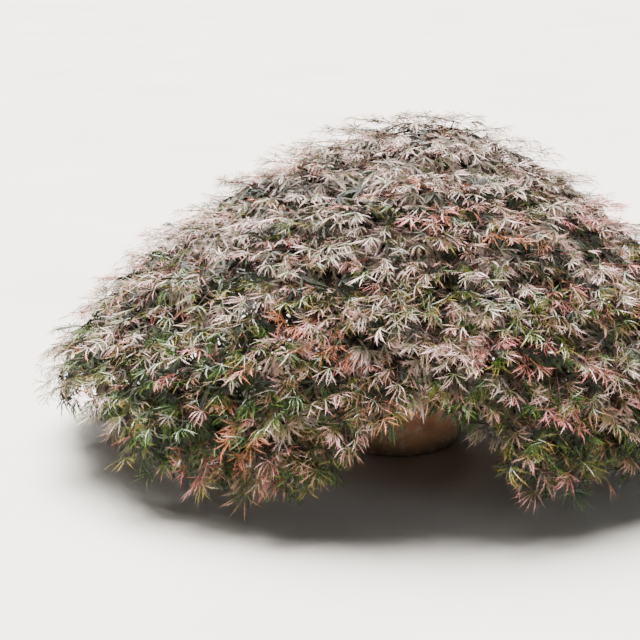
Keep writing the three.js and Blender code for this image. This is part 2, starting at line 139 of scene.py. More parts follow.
def endWithInstances(tree, groupIn, points, forms, inputs):
    forms = firstOf(tree, "GeometryNodeCollectionInfo", {
        "Collection": forms, "Separate Children": True, "Reset Children": True})
    placed = firstOf(tree, "GeometryNodeInstanceOnPoints", {
        "Points": points, "Instance": forms, "Pick Instance": True, **inputs})
    real = firstOf(tree, "GeometryNodeRealizeInstances", {"Geometry": placed})
    endTree(tree, real, groupIn["Material"])


def newObject(name, mesh):
    piece = bpy.data.objects.new(name, mesh)
    bpy.context.scene.collection.objects.link(piece)
    return piece


def meshFrom(name, points, edges=(), faces=(), smooth=True, **fields):
    mesh = bpy.data.meshes.new(name)
    mesh.from_pydata(np.asarray(points) * mm, edges, faces)
    kinds = {(): ("FLOAT", "value"), (3,): ("FLOAT_VECTOR", "vector")}  # by the shape of one value
    for title, values in fields.items():
        values = np.asarray(values)
        whole = values.dtype.kind == "i"
        kind, slotName = ("INT", "value") if whole else kinds[values.shape[1:]]
        mesh.attributes.new(title, kind, "POINT").data.foreach_set(slotName, values.ravel())
    mesh.shade_smooth() if smooth and len(faces) else mesh.shade_flat()
    return newObject(name, mesh)


def grown(base, tree, values):  # the object takes over the mesh that the node tree makes of it
    modifier = base.modifiers.new(tree.name, "NODES")
    modifier.node_group = tree
    for item in tree.interface.items_tree:
        if item.in_out == "INPUT" and item.name in values:
            modifier[item.identifier] = values[item.name]
    depsgraph = bpy.context.evaluated_depsgraph_get()
    mesh = bpy.data.meshes.new_from_object(base.evaluated_get(depsgraph))
    base.modifiers.remove(modifier)
    base.data = mesh
    return base


def collectionOf(name, meshes):
    collection = bpy.data.collections.new(name)
    for index, mesh in enumerate(meshes):
        collection.objects.link(bpy.data.objects.new(f"{name}{index}", mesh))
    return collection


def dropCollection(collection):
    for template in list(collection.objects):
        bpy.data.objects.remove(template)
    bpy.data.collections.remove(collection)


def finishPiece(piece, nodes=()):
    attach(piece, "root")
    if nodes:
        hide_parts(*nodes)
    return piece


# Materials.

def newMaterial(name, **constants):
    material = bpy.data.materials.new(name)
    material.use_nodes = True
    tree = material.node_tree
    shader = tree.nodes["Principled BSDF"]
    for title, value in constants.items():
        shader.inputs[title.replace("_", " ")].default_value = value
    where = addNode(tree, "ShaderNodeTexCoord").outputs["Object"]
    return material, tree, shader, where


def colourRamp(tree, factor, stops):
    ramp = addNode(tree, "ShaderNodeValToRGB", {"Fac": factor})
    elements = ramp.color_ramp.elements
    while len(elements) < len(stops):
        elements.new(0.5)
    for element, (place, code) in zip(elements, stops):
        element.position = place
        element.color = linearColour(code)
    return ramp.outputs["Color"]


def noiseField(tree, where, size, detail=2.0, roughness=0.5):  # size of one patch in mm
    return firstOf(tree, "ShaderNodeTexNoise", {
        "Vector": where, "Scale": 1 / (size * mm), "Detail": detail, "Roughness": roughness})


ownUnits = 1 / mm  # the size to give for a field that counts in patches already


def fadeIn(tree, value, start, full, top):
    return firstOf(tree, "ShaderNodeMapRange", {
        "Value": value, "From Min": start, "From Max": full, "To Max": top})


def overlaid(tree, mask, under, code):
    return addNode(tree, "ShaderNodeMix", {
        0: mask, 6: under, 7: linearColour(code)}, data_type="RGBA").outputs[2]


def paint(tree, shader, colour):
    tree.links.new(colour, shader.inputs["Base Color"])


def addBump(tree, shader, height, depth):  # depth in mm
    inputs = {"Height": height, "Distance": depth * mm, "Strength": 1.0}
    tree.links.new(firstOf(tree, "ShaderNodeBump", inputs), shader.inputs["Normal"])


# Cut leaf blade, thin and waxy, softly glossy outside and duller in the shade of the crown. A leaf
# pales from its heart to its tips, with a mottle that differs from leaf to leaf. Its fine veins are
# drawn coarser than life so that they scatter the light.
leafTones = {  # slot, colour of the heart and colour of the tips
    # The pale tips of silver and mauve are partly the leaves' own pinkish grey and partly painted
    # sheen from the sky.
    "silver": ("silver_leaf", "#70704C", "#FFD2D0"),
    "mauve": ("mauve_leaf", "#60542E", "#ECAEAA"),
    "rose": ("rose_leaf", "#784638", "#EA8C8C"),
    "salmon": ("salmon_leaf", "#80522A", "#EE9070"),
    "bronze": ("bronze_leaf", "#3A3E0E", "#A67A60"),
    "olive": ("olive_leaf", "#3C5010", "#988440"),
    "green": ("green_leaf", "#22420E", "#647E2E"),
    # The shade tones are darker copies of green, bronze and mauve: painted shade for the leaves
    # inside the crown.
    "shadeGreen": ("green_leaf", "#0E1603", "#2A3A08"),
    "shadeBronze": ("bronze_leaf", "#201E0E", "#5C4E3E"),
    "shadeMauve": ("mauve_leaf", "#5A5240", "#B09890"),
}
leafFinish = {
    "mottle": 45, "mottleShare": 0.5, "vein": 3, "veinDepth": 0.2,
    "heartTo": 0.24, "tipsFrom": 0.9,  # shares of the way from the heart to the tips
    "roughness": 0.32, "shadeRoughness": 0.7,
}


def leafMaterial(name, heart, tips):
    roughness = leafFinish["shadeRoughness" if name.startswith("shade") else "roughness"]
    material, tree, shader, where = newMaterial(
        "waxyLeafBlade_" + name, Roughness=roughness, IOR=1.45)
    reach = addNode(tree, "ShaderNodeAttribute", attribute_name="reach").outputs["Fac"]
    mottle = mathNode(tree, "SUBTRACT", noiseField(tree, where, leafFinish["mottle"], 1), 0.5)
    place = mathNode(tree, "MULTIPLY_ADD", mottle, 2 * leafFinish["mottleShare"], reach)
    stops = [(leafFinish["heartTo"], heart), (leafFinish["tipsFrom"], tips)]
    paint(tree, shader, colourRamp(tree, place, stops))
    addBump(tree, shader, noiseField(tree, where, leafFinish["vein"], 1), leafFinish["veinDepth"])
    return material


# Young maple bark, smooth and grey-brown, with fine lengthwise fissures and paler lichen on the old
# wood. The fissures follow the field barkPlace, which runs along and round each limb.
barkFinish = {
    "depth": 0.9, "lichen": 16, "lichenFrom": 0.56, "lichenFull": 0.66, "lichenColour": "#8E9280",
}


def barkMaterial(name, stops, lichen):
    material, tree, shader, where = newMaterial(name, Roughness=0.82, IOR=1.45)
    ring = addNode(tree, "ShaderNodeAttribute", attribute_name="barkPlace").outputs["Vector"]
    fissure = noiseField(tree, ring, ownUnits, 4, 0.65)
    patches = noiseField(tree, where, barkFinish["lichen"], 5, 0.7)
    mask = fadeIn(tree, patches, barkFinish["lichenFrom"], barkFinish["lichenFull"], lichen)
    wood = colourRamp(tree, fissure, stops)
    paint(tree, shader, overlaid(tree, mask, wood, barkFinish["lichenColour"]))
    addBump(tree, shader, fissure, barkFinish["depth"])
    return material


# Unglazed fired clay, dry and chalky, with a pale bloom of lime and a film of algae low down.
clayFinish = {
    "blotch": 60, "bloom": 34, "bloomFrom": 0.5, "bloomFull": 0.68, "bloomShare": 0.55,
    "bloomColour": "#C2B09E",
    "algae": 22, "algaeTop": 130, "algaeShare": 1.1, "algaeColour": "#5C5E45",
    "grain": 1.6, "grainDepth": 0.25, "throwing": 7, "throwingShare": 0.6,
    "waveBand": 0.31,  # metres from band to band in a wave texture of scale 1
}


def clayMaterial():
    material, tree, shader, where = newMaterial("firedClay", Roughness=0.88, IOR=1.5)
    clay = colourRamp(tree, noiseField(tree, where, clayFinish["blotch"], 5, 0.6),
                      [(0.3, "#7D4F3A"), (0.5, "#94634A"), (0.7, "#A8765A")])
    bloom = fadeIn(tree, noiseField(tree, where, clayFinish["bloom"], 6, 0.68),
                   clayFinish["bloomFrom"], clayFinish["bloomFull"], clayFinish["bloomShare"])
    bloomed = overlaid(tree, bloom, clay, clayFinish["bloomColour"])
    height = addNode(tree, "ShaderNodeSeparateXYZ", {"Vector": where}).outputs["Z"]
    low = fadeIn(tree, height, clayFinish["algaeTop"] * mm, 0.0, clayFinish["algaeShare"])
    algae = mathNode(tree, "MULTIPLY", low, noiseField(tree, where, clayFinish["algae"], 5, 0.7))
    paint(tree, shader, overlaid(tree, algae, bloomed, clayFinish["algaeColour"]))
    waveScale = clayFinish["waveBand"] / (clayFinish["throwing"] * mm)
    rings = addNode(tree, "ShaderNodeTexWave", {
        "Vector": where, "Scale": waveScale, "Distortion": 1.5, "Detail": 2.0,
    }, wave_type="BANDS", bands_direction="Z").outputs["Fac"]
    grain = noiseField(tree, where, clayFinish["grain"], 3, 0.7)
    relief = mathNode(tree, "MULTIPLY_ADD", rings, clayFinish["throwingShare"], grain)
    addBump(tree, shader, relief, clayFinish["grainDepth"])
    return material


# Potting soil, bark mulch and grit: dull, loose and rough, darker where it is moist.
def looseMaterial(name, stops, patch, grain, depth):
    material, tree, shader, where = newMaterial(name, Roughness=0.95, IOR=1.4)
    paint(tree, shader, colourRamp(tree, noiseField(tree, where, patch, 4, 0.65), stops))
    addBump(tree, shader, noiseField(tree, where, grain, 4, 0.7), depth)
    return material


oldBark = barkMaterial(
    "fissuredOldBark", [(0.3, "#3F342C"), (0.5, "#6A5A4D"), (0.72, "#8B7A6A")], lichen=0.6)
youngBark = barkMaterial(
    "smoothYoungBark", [(0.3, "#3A2A26"), (0.55, "#5B443C"), (0.75, "#75604F")], lichen=0.25)
twigBark = barkMaterial(
    "redBrownTwigBark", [(0.3, "#2E1C1B"), (0.55, "#4B2F2B"), (0.75, "#65463B")], lichen=0.0)
firedClay = clayMaterial()
pottingSoil = looseMaterial(
    "moistPottingSoil", [(0.3, "#1F1712"), (0.55, "#33271E"), (0.75, "#4A3A2C")],
    patch=24, grain=3, depth=1.6)
barkMulch = looseMaterial(
    "barkMulch", [(0.3, "#3A281D"), (0.55, "#5C4230"), (0.75, "#7C5E46")],
    patch=12, grain=1.5, depth=0.6)
pumiceGrit = looseMaterial(
    "pumiceGrit", [(0.3, "#8A8378"), (0.6, "#B3AB9E"), (0.8, "#CFC8BB")],
    patch=6, grain=1, depth=0.4)
print("materials made")


# The crown's surface, by the part's own rule: a blunt dome, wider than deep, with a skirt under
# its rim.
crown = {
    "left": 840, "right": 780, "front": 600, "back": 660,
    "rim": 140,  # where the dome turns down into the skirt
    "top": 780,
    "bluntness": 1.47,
    "peakShift": 50,
    "tuck": 0.08,
    "hem": 62,
    "fallLine": 0.5,
    "farthest": 1200,
    "halvings": 26,
    "probe": 2,  # step at which the surface's slope is felt
    "heart": np.array([25.0, 0.0, 200.0]),
    # Azimuth, half width and lift of each stretch where the hem is raised.
    "arches": [(273, 24, 200), (206, 13, 112), (189, 20, 105), (17, 13, 110), (125, 14, 130)],
}


def planReach(azimuth):
    along = np.cos(azimuth) / np.where(np.cos(azimuth) < 0, crown["left"], crown["right"])
    across = np.sin(azimuth) / np.where(np.sin(azimuth) < 0, crown["front"], crown["back"])
    return 1 / np.hypot(along, across)


def fullness(points):
    height = (points[..., 2] - crown["rim"]) / (crown["top"] - crown["rim"])
    x = points[..., 0] - crown["peakShift"] * np.maximum(height, 0)
    below = np.maximum(0, 1 - points[..., 2] / crown["rim"])
    reach = planReach(np.arctan2(points[..., 1], x)) * (1 - crown["tuck"] * below ** 2)
    level = np.hypot(x, points[..., 1]) / reach
    return level ** crown["bluntness"] + np.maximum(height, 0) ** crown["bluntness"]


def surfacePoints(directions):
    near = np.zeros(len(directions))
    far = np.full(len(directions), float(crown["farthest"]))
    for _ in range(crown["halvings"]):
        middle = (near + far) / 2
        inside = fullness(crown["heart"] + directions * middle[:, None]) < 1
        near, far = np.where(inside, middle, near), np.where(inside, far, middle)
    return crown["heart"] + directions * near[:, None]


def directionsTo(azimuths, sines):  # azimuths in degrees, sines of the elevations
    level = np.sqrt(1 - sines ** 2)
    turns = np.radians(azimuths)
    return np.stack([level * np.cos(turns), level * np.sin(turns), sines], axis=-1)


def surfaceFrames(points):  # out of the crown, and down its slope
    steps = crown["probe"] * np.eye(3)
    rises = [fullness(points + step) - fullness(points - step) for step in steps]
    out = unit(np.stack(rises, axis=-1))
    radial = unit((points - [crown["peakShift"], 0, 0]) * [1, 1, 0])
    fall = crown["fallLine"] * radial - up
    return out, unit(fall - out * np.sum(fall * out, axis=-1, keepdims=True))


def hemHeights(points):
    azimuths = np.degrees(np.arctan2(points[..., 1], points[..., 0]))
    height = np.full(len(points), float(crown["hem"]))
    for azimuth, halfWidth, lift in crown["arches"]:
        away = (azimuths - azimuth + 180) % 360 - 180
        raised = lift * np.maximum(0, 1 - (away / halfWidth) ** 2)
        height = np.maximum(height, crown["hem"] + raised)
    return height


def inCrown(azimuth, elevation, depth):
    point = surfacePoints(directionsTo(np.array([azimuth]), np.sin(np.radians([elevation]))))
    return (point - depth * surfaceFrames(point)[0])[0]


# The masses of foliage, each fed by its own limb.
skirtAzimuths = {
    "right": 0, "right_back": 33, "back_right": 68, "back_left": 104, "left_back": 142, "left": 175,
    "left_front": 205, "front_left": 236, "front": 271, "front_right": 298, "right_front": 331,
}
shoulderAzimuths = {
    "front": 270, "front_right": 328, "back_right": 28, "back": 90, "back_left": 150,
    "front_left": 212,
}
tiers = {  # elevation from the heart, and where the stem's foot lies: lift in degrees, depth in mm
    "top": {"elevation": 89, "lift": 0, "depth": 175},
    "shoulder": {"elevation": 46, "lift": 15, "depth": 140},
    "skirt": {"elevation": 5, "lift": 21, "depth": 135},
}
coreDepth = 86
raisedSkirt = {"front": 17}

feet = {"top": {"peak": 0}, "shoulder": shoulderAzimuths, "skirt": skirtAzimuths}
masses = [{"name": name, "tier": tier, "azimuth": azimuth, "elevation": tiers[tier]["elevation"]}
          for tier, azimuths in feet.items() for name, azimuth in azimuths.items()]
for mass in masses:
    tier = tiers[mass["tier"]]
    if mass["tier"] == "skirt":
        mass["elevation"] = raisedSkirt.get(mass["name"], mass["elevation"])
    mass["middle"] = inCrown(mass["azimuth"], mass["elevation"], 0)
    mass["hub"] = inCrown(mass["azimuth"], mass["elevation"], coreDepth)
    mass["foot"] = inCrown(mass["azimuth"], mass["elevation"] + tier["lift"], tier["depth"])
    mass["heading"] = unit(mass["hub"] - mass["foot"])
foliageNodes = ["foliage_" + mass["tier"] + "_" + mass["name"] for mass in masses]
middles = np.array([mass["middle"] for mass in masses])


def ownersOf(points):
    return np.linalg.norm(points[:, None] - middles[None], axis=2).argmin(axis=1)


# Trunk and limbs, on the part's own lines.
trunk = {
    "foot": 272.3, "height": 150, "radius": 35,
    "flareRadius": 62, "flareHeight": 34,
    "buttresses": 5, "buttressDepth": 0.5,
    "belly": 0.16, "neck": 0.3, "neckPower": 9, "domeHeight": 10,
    "lean": np.array([24.0, -10.0, 0.0]), "leanPower": 1.3, "sway": 7,
    "sides": 96, "rings": 84, "relief": 0.45,
}
limb = {"crookedness": 9, "knots": 5, "perKnot": 24, "samples": 61, "sides": 18}
limbStyles = {
    "leader": {"rootRadius": 16, "tipRadius": 7.5, "rootShares": [0.94],
               "leaveOut": 0, "leaveUp": 62, "arriveBack": 60, "arriveUp": 0},
    "bough": {"rootRadius": 18, "tipRadius": 7.5, "rootShares": [0.6, 0.86],
              "leaveOut": 75, "leaveUp": 62, "arriveBack": 85, "arriveUp": 12},
    "branch": {"rootRadius": 12, "tipRadius": 6, "rootShares": [0.42, 0.62],
               "leaveOut": 0.42, "leaveUp": 14, "arriveBack": 110, "arriveUp": 20},
}


def trunkMiddle(share):
    sway = trunk["sway"] * math.sin(2 * math.pi * share)
    lean = trunk["lean"] * share ** trunk["leanPower"]
    return np.array([0, sway, trunk["foot"] + trunk["height"] * share]) + lean


def bend(start, middle, end, t):  # a quadratic curve
    return (1 - t) ** 2 * start + 2 * (1 - t) * t * middle + t ** 2 * end


def evenly(points, count):  # the same line with its points evenly spaced
    lengths = np.concatenate([[0], np.cumsum(np.linalg.norm(np.diff(points, axis=0), axis=1))])
    places = np.linspace(0, lengths[-1], count)
    return np.stack([np.interp(places, lengths, points[:, axis]) for axis in range(3)], axis=1)


def smoothLine(knots, perSpan):  # a centripetal spline through the knots
    knots = np.asarray(knots, float)
    ends = [2 * knots[0] - knots[1], 2 * knots[-1] - knots[-2]]
    p = np.concatenate([ends[:1], knots, ends[1:]])
    spans = np.maximum(np.linalg.norm(np.diff(p, axis=0), axis=1), 1e-4) ** 0.5
    line = []
    for k in range(1, len(p) - 2):
        before, span, after = spans[k - 1:k + 2]
        leave = (span * ((p[k] - p[k - 1]) / before - (p[k + 1] - p[k - 1]) / (before + span))
                 + p[k + 1] - p[k])
        reach = (span * ((p[k + 2] - p[k + 1]) / after - (p[k + 2] - p[k]) / (span + after))
                 + p[k + 1] - p[k])
        for t in np.arange(perSpan) / perSpan:
            line.append(p[k] + leave * t + (3 * (p[k + 1] - p[k]) - 2 * leave - reach) * t ** 2
                        + (2 * (p[k] - p[k + 1]) + leave + reach) * t ** 3)
    return np.array(line + [p[-2]])


def limbLine(start, leave, arrive, end, seed):
    random = seededRandom(seed)
    knots = []
    for t in np.linspace(0, 1, limb["knots"] + 1):
        knots.append((1 - t) ** 3 * start + 3 * (1 - t) ** 2 * t * leave
                     + 3 * (1 - t) * t ** 2 * arrive + t ** 3 * end)
    for knot in knots[1:-2]:
        knot += np.array([(2 * random() - 1) * limb["crookedness"] for _ in range(3)])
    return evenly(smoothLine(knots, limb["perKnot"]), limb["samples"])


def limbTo(mass, kind, start, leave, seed):
    style = limbStyles[kind]
    arrive = mass["foot"] - style["arriveBack"] * mass["heading"] + style["arriveUp"] * up
    line = limbLine(start, leave, arrive, mass["foot"], seed)
    node = kind if kind == "leader" else kind + "_" + mass["name"]
    return {"node": node, "mass": mass, "line": line, "kind": kind,
            "radii": np.linspace(style["rootRadius"], style["tipRadius"], len(line))}


def growLimbs():
    limbs = []
    for index, mass in enumerate(mass for mass in masses if mass["tier"] != "skirt"):
        kind = "leader" if mass["tier"] == "top" else "bough"
        style = limbStyles[kind]
        start = trunkMiddle(style["rootShares"][index % len(style["rootShares"])])
        outward = unit((mass["foot"] - trunk["lean"]) * [1, 1, 0])
        leave = start + style["leaveOut"] * outward + style["leaveUp"] * up
        limbs.append(limbTo(mass, kind, start, leave, 11 + index))
    boughs = [each for each in limbs if each["kind"] == "bough"]
    style = limbStyles["branch"]
    for index, mass in enumerate(mass for mass in masses if mass["tier"] == "skirt"):
        def turnTo(parent):
            return abs((parent["mass"]["azimuth"] - mass["azimuth"] + 180) % 360 - 180)
        parent = min(boughs, key=turnTo)
        share = style["rootShares"][index % len(style["rootShares"])]
        start = parent["line"][round(share * (limb["samples"] - 1))]
        outward = (mass["foot"] - start) * [1, 1, 0]
        leave = start + style["leaveOut"] * outward + style["leaveUp"] * up
        limbs.append(limbTo(mass, "branch", start, leave, 31 + index))
    return limbs


# A tube along every line, with the bark's lumps and fissures standing out of it.
barkRelief = {"lump": 34, "lumpShare": 0.16, "ridge": 5.5, "ridgeLength": 30, "ridgeShare": 0.07}


def addRelief(tree, geometry, girth, groupIn):
    position = firstOf(tree, "GeometryNodeInputPosition")
    lumps = noiseField(tree, position, barkRelief["lump"], 1)
    ridges = noiseField(tree, field(tree, "barkPlace", "FLOAT_VECTOR"), ownUnits, 3, 0.6)
    lumps = mathNode(tree, "SUBTRACT", lumps, 0.5)
    lumps = mathNode(tree, "MULTIPLY", lumps, barkRelief["lumpShare"] * 2)
    ridges = mathNode(tree, "SUBTRACT", ridges, 0.5)
    both = mathNode(tree, "MULTIPLY_ADD", ridges, barkRelief["ridgeShare"] * 2, lumps)
    depth = mathNode(tree, "MULTIPLY", mathNode(tree, "MULTIPLY", both, girth), groupIn["Relief"])
    normal = firstOf(tree, "GeometryNodeInputNormal")
    moved = firstOf(tree, "GeometryNodeSetPosition", {
        "Geometry": geometry, "Offset": scaled(tree, normal, depth)})
    smooth = firstOf(tree, "GeometryNodeSetShadeSmooth", {"Geometry": moved})
    endTree(tree, smooth, groupIn["Material"])


def tubeTree():
    tree, groupIn = newTree("woodyTubes", {
        "Sides": "Int", "Relief": "Float", "Material": "Material"})
    girth = field(tree, "girth")
    curve = firstOf(tree, "GeometryNodeMeshToCurve", {"Mesh": groupIn["Geometry"]})
    length = addNode(tree, "GeometryNodeSplineParameter").outputs["Length"]
    curve = withField(tree, curve, "along", length)
    circle = firstOf(tree, "GeometryNodeCurvePrimitiveCircle", {"Resolution": groupIn["Sides"]})
    ringPlace = firstOf(tree, "GeometryNodeInputPosition")
    circle = withField(tree, circle, "ring", ringPlace, "FLOAT_VECTOR")
    tube = firstOf(tree, "GeometryNodeCurveToMesh", {
        "Curve": curve, "Profile Curve": circle, "Scale": girth, "Fill Caps": True})
    turns = mathNode(tree, "MULTIPLY", girth, 1 / (barkRelief["ridge"] * mm))
    around = scaled(tree, field(tree, "ring", "FLOAT_VECTOR"), turns)
    rise = mathNode(tree, "MULTIPLY", field(tree, "along"), 1 / (barkRelief["ridgeLength"] * mm))
    lift = firstOf(tree, "ShaderNodeCombineXYZ", {"Z": rise})
    place = firstOf(tree, "ShaderNodeVectorMath", {0: around, 1: lift}, operation="ADD")
    tube = withField(tree, tube, "barkPlace", place, "FLOAT_VECTOR")
    addRelief(tree, tube, girth, groupIn)
    return tree


def ringTree():
    tree, groupIn = newTree("barkOnRings", {"Relief": "Float", "Material": "Material"})
    addRelief(tree, groupIn["Geometry"], field(tree, "girth"), groupIn)
    return tree


woodyTubes, barkOnRings = tubeTree(), ringTree()


def tubes(name, lines, sides, relief, material):  # lines are pairs of points and radii
    points = np.concatenate([line for line, _ in lines])
    girth = np.concatenate([radii for _, radii in lines]) * mm
    counts = np.array([len(line) for line, _ in lines])
    ends = np.cumsum(counts) - 1
    starts = np.setdiff1d(np.arange(len(points) - 1), ends)
    base = meshFrom(name, points, edges=np.stack([starts, starts + 1], axis=1), girth=girth)
    return grown(base, woodyTubes, {"Sides": sides, "Relief": relief, "Material": material})


def ringFaces(rings, sides):  # of stacked rings of points, closed by one point below and one above
    below, above, last = rings * sides, rings * sides + 1, (rings - 1) * sides
    faces = []
    for side in range(sides):
        after = (side + 1) % sides
        faces += [(below, after, side), (above, last + side, last + after)]
        for low in range(0, last, sides):
            high = low + sides
            faces.append((low + side, low + after, high + after, high + side))
    return faces


def trunkPiece():
    shares = np.arange(trunk["rings"] + 1) / trunk["rings"]
    turns = 2 * np.pi * np.arange(trunk["sides"]) / trunk["sides"]
    heights = shares * trunk["height"]
    flare = (trunk["flareRadius"] - trunk["radius"]) * np.exp(-heights / trunk["flareHeight"])
    ridge = trunk["buttressDepth"] * flare[:, None] * np.cos(trunk["buttresses"] * turns)
    stem = 1 + trunk["belly"] * np.sin(np.pi * shares)
    stem = stem - trunk["neck"] * shares ** trunk["neckPower"]
    radii = (trunk["radius"] * stem + flare)[:, None] + ridge
    spokes = np.stack([np.cos(turns), np.sin(turns), np.zeros_like(turns)], axis=1)
    middle = np.array([trunkMiddle(share) for share in shares])
    points = (middle[:, None] + radii[..., None] * spokes).reshape(-1, 3)
    place = radii[..., None] * spokes / barkRelief["ridge"]
    place = (place + heights[:, None, None] * up / barkRelief["ridgeLength"]).reshape(-1, 3)
    girth = np.concatenate([np.full(len(points), trunk["radius"] * mm), np.zeros(2)])
    points = np.concatenate([points, [middle[0], middle[-1] + trunk["domeHeight"] * up]])
    place = np.concatenate([place, np.zeros((2, 3))])
    faces = ringFaces(len(shares), trunk["sides"])
    base = meshFrom("trunk_bark", points, faces=faces, girth=girth, barkPlace=place)
    return grown(base, barkOnRings, {"Relief": trunk["relief"], "Material": oldBark})


limbs = growLimbs()
finishPiece(trunkPiece(), ["trunk"])
limbLines = [(each["line"], each["radii"]) for each in limbs]
limbPiece = tubes("limbs", limbLines, limb["sides"], 1.0, youngBark)
finishPiece(limbPiece, [each["node"] for each in limbs])
print("trunk and limbs grown")


# The cut leaf: narrow fingers, each a thin blade with forward teeth on both sides, arched over and
# hanging. A finger is given by its angle to one side, which the other side mirrors, by its length
# and by its stations for a pair of teeth. Sizes are shares of the middle finger's length.
leafForm = {
    "lengthStray": 0.18, "swing": 0.12, "droopStray": 0.9, "arch": 0.1, "toothStray": 0.3,
    "bladeSwell": (0.1, 0.75), "toothSwell": (0.2, 0.7),  # start and length on a half wave
    "bladeLeast": 0.5, "toothFade": 0.3,
}
cutLeaf = {
    "fingers": [(0, 1.0, 4), (21, 0.97, 4), (44, 0.9, 4), (70, 0.78, 3), (102, 0.52, 2)],
    "bare": 0.16, "plainTip": 0.2,  # shares of a finger without teeth
    "blade": 0.011, "tooth": 0.13, "toothBase": 0.2, "toothLean": 1.2, "fold": 0.3,
    "droop": 0.26, "crook": 34, "stray": 7, "roll": 40, "variants": 16,
}
shadeLeaf = {  # the plainer leaves under the outer ones
    "fingers": [(0, 1.0, 3), (25, 0.94, 3), (52, 0.84, 3), (84, 0.66, 2)],
    "bare": 0.12, "plainTip": 0.16,
    "blade": 0.03, "tooth": 0.16, "toothBase": 0.5, "toothLean": 1.25, "fold": 0.2,
    "droop": 0.3, "crook": 20, "stray": 8, "roll": 34, "variants": 8,
}
deepLeaf = {  # and the broadest and simplest, without teeth, deep in the crown
    "fingers": [(0, 1.0, 3), (30, 0.94, 3), (64, 0.82, 3)],
    "bare": 0.2, "plainTip": 0.3, "blade": 0.085, "tooth": 0,
    "droop": 0.35, "crook": 24, "stray": 8, "roll": 34, "variants": 6,
}


def leafTemplate(shape, random):
    points, faces, reaches = [], [], []

    def jitter(size):
        return (2 * random() - 1) * size

    def addFinger(angle, length, stations):
        length *= 1 + jitter(leafForm["lengthStray"])
        heading = math.radians(angle + jitter(shape["stray"]))
        crook = math.radians(jitter(shape["crook"]) - leafForm["swing"] * angle)
        roll = math.radians(jitter(shape["roll"]))
        droop = shape["droop"] * (1 + jitter(leafForm["droopStray"]))

        def addPoint(t, across, sunk):
            turn = heading + crook * t
            along = t * length
            level = across * math.cos(roll)
            sag = leafForm["arch"] * t - droop * t * t * length
            reaches.append(along)
            points.append((along * math.sin(turn) + level * math.cos(turn),
                           along * math.cos(turn) - level * math.sin(turn),
                           sag - sunk + across * math.sin(roll)))

        def swell(kind, t):
            start, stretch = leafForm[kind]
            return math.sin(math.pi * (start + stretch * t))

        def halfBlade(t):
            return shape["blade"] * (leafForm["bladeLeast"] + swell("bladeSwell", t))

        step = (1 - shape["bare"] - shape["plainTip"]) / stations
        first = len(points)
        for k in range(stations):
            t = 0 if k == 0 else shape["bare"] + k * step
            addPoint(t, -halfBlade(t), 0)
            addPoint(t, halfBlade(t), 0)
        tip = len(points)
        addPoint(1, 0, 0)
        for k in range(stations):
            low = first + 2 * k
            ahead = (low + 3, low + 2) if k < stations - 1 else (tip,)
            faces.append((low, low + 1, *ahead))
            if k == 0 or not shape["tooth"]:
                continue
            t = shape["bare"] + k * step
            width = shape["tooth"] * length * swell("toothSwell", t)
            width = width * (1 - t) ** leafForm["toothFade"] * (1 + jitter(leafForm["toothStray"]))
            after = t + shape["toothBase"] * step
            point = t + shape["toothLean"] * step * (1 - 0.5 * t)
            for side, near in ((-1, low), (1, low + 1)):
                addPoint(after, side * halfBlade(after), 0)
                addPoint(point, side * width, shape["fold"] * width)
                ends = (len(points) - 2, len(points) - 1)
                faces.append((near, *ends[::side]))

    for angle, length, stations in shape["fingers"]:
        for side in (1, -1) if angle else (1,):
            addFinger(side * angle, length, stations)
    return points, faces, reaches


def leafCollection(name, shape, seed):
    random = seededRandom(seed)
    meshes = []
    for _ in range(shape["variants"]):
        points, faces, reaches = leafTemplate(shape, random)
        mesh = bpy.data.meshes.new(name)
        mesh.from_pydata(points, [], [face[::-1] for face in faces])
        mesh.attributes.new("reach", "FLOAT", "POINT").data.foreach_set("value", reaches)
        mesh.shade_smooth()
        meshes.append(mesh)
    return collectionOf(name, meshes)


def leafTree():
    tree, groupIn = newTree("leavesOnHubs", {"Leaves": "Collection", "Material": "Material"})
    turn = firstOf(tree, "FunctionNodeAxesToRotation", {
        "Primary Axis": field(tree, "face", "FLOAT_VECTOR"),
        "Secondary Axis": field(tree, "heading", "FLOAT_VECTOR"),
    }, primary_axis="Z", secondary_axis="Y")
    endWithInstances(tree, groupIn, groupIn["Geometry"], groupIn["Leaves"], {
        "Instance Index": field(tree, "variant", "INT"), "Rotation": turn,
        "Scale": field(tree, "size")})
    return tree


# Sprays of leaves are scattered over the crown and laid on it like shingles.
spray = {
    "seed": 5, "growthSeed": 21, "tries": 30000, "spacing": 53, "closeTop": 0.24,
    "overHem": 48, "lowestSine": -0.22, "turn": 50,
    "flatDip": 3, "steepFrom": 36, "steepShare": 0.95,  # degrees that a spray dips, by the slope
    "crests": [16, 0, -15],  # of the spray's outer edge over the crown's surface, taken in turn
    "flatten": 18, "loosen": [14, 0, -14],  # how far the crests sink and part towards the peak
    "peakPower": 6,
    "reach": 78, "back": 88, "sink": 24, "ahead": 32,
    "kneeBack": 14, "kneeUp": 4, "tipDrop": 3, "limbGap": 6, "samples": 6,
    "twigRadii": (1.5, 0.8), "petioleRadii": (0.75, 0.5),
    "pairs": [0.3, 0.48, 0.66, 0.84], "pairAngle": 56, "angleStray": 14,
    "petiole": 23, "petioleStray": (0.8, 0.5), "petioleUp": 3,
    "peakLift": 0.3, "wallSag": 0.1,  # how far leaves rise on the peak and sink all over
    "petioleShare": 0.8, "sprayShare": 0.2, "headingStray": 0.4,  # of the way that a leaf points
    "faceShare": 0.85, "skyShare": 0.2, "faceStray": 0.6,  # and of the way that it faces
    "sizeStray": (0.8, 0.4),
    "lowLeaf": 46, "highLeaf": 33,  # length of a leaf's middle finger at the ground and at the peak
    "strays": 0.35,  # share of leaves with a tone of their own
    "floorGap": 14, "hang": 0.3,  # how far a leaf may droop below its own line, by its size
}
